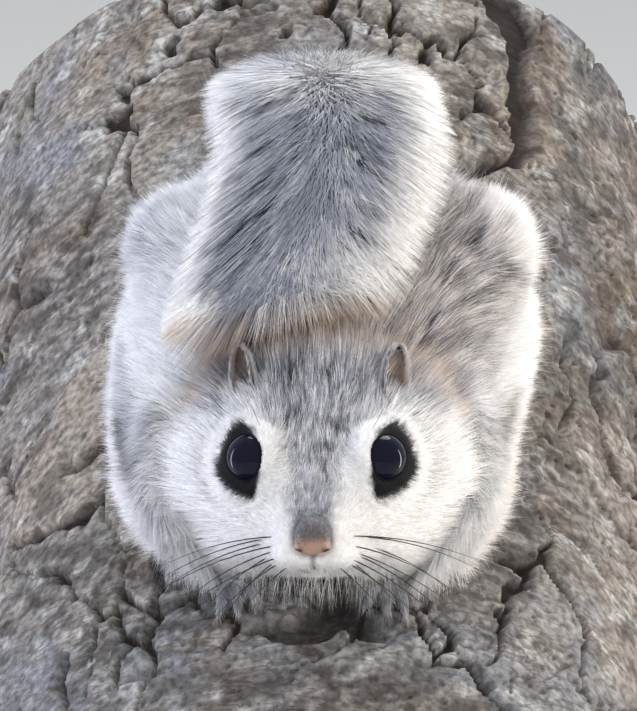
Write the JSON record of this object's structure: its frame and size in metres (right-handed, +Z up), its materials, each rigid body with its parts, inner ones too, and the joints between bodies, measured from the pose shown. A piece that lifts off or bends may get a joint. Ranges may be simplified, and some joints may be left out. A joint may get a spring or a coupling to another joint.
{
  "type": "flying squirrel display model",
  "caption": "Life-size flying squirrel in winter coat, crouched head down with its tail folded over its back, on a short length of tree trunk on a display stand.",
  "frame": {"origin": "centre of the underside of the stand's base", "axes": "+Z up; the animal's head faces -Y and its left side is +X; the trunk leans 32 degrees from level, rising towards +Y"},
  "size_m": [0.15, 0.2606, 0.2609],
  "materials": {
    "coat": "soft dense winter fur, grey above and white below",
    "bare_skin": "bare or thinly haired skin of nose pad, ears and claws",
    "eye": "wet glossy near-black",
    "bark": "rough cracked grey bark",
    "board": "satin dark stained wood",
    "steel": "brushed"
  },
  "bodies": {
    "root": {"head": "coat", "torso": "coat", "foreleg_left": "coat", "foreleg_right": "coat", "hindleg_left": "coat", "hindleg_right": "coat", "gliding_membrane_left": "coat", "gliding_membrane_right": "coat", "forepaw_left": "coat", "forepaw_right": "coat", "hindfoot_left": "coat", "hindfoot_right": "coat", "tail_root": "coat", "tail_brush": "coat", "nose": "bare_skin", "ear_left": "bare_skin", "ear_right": "bare_skin", "eye_left": "eye", "eye_right": "eye", "perch_trunk": "bark", "stand_base": "board", "stand_rod_front": "steel", "stand_rod_rear": "steel"}
  },
  "joints": []
}
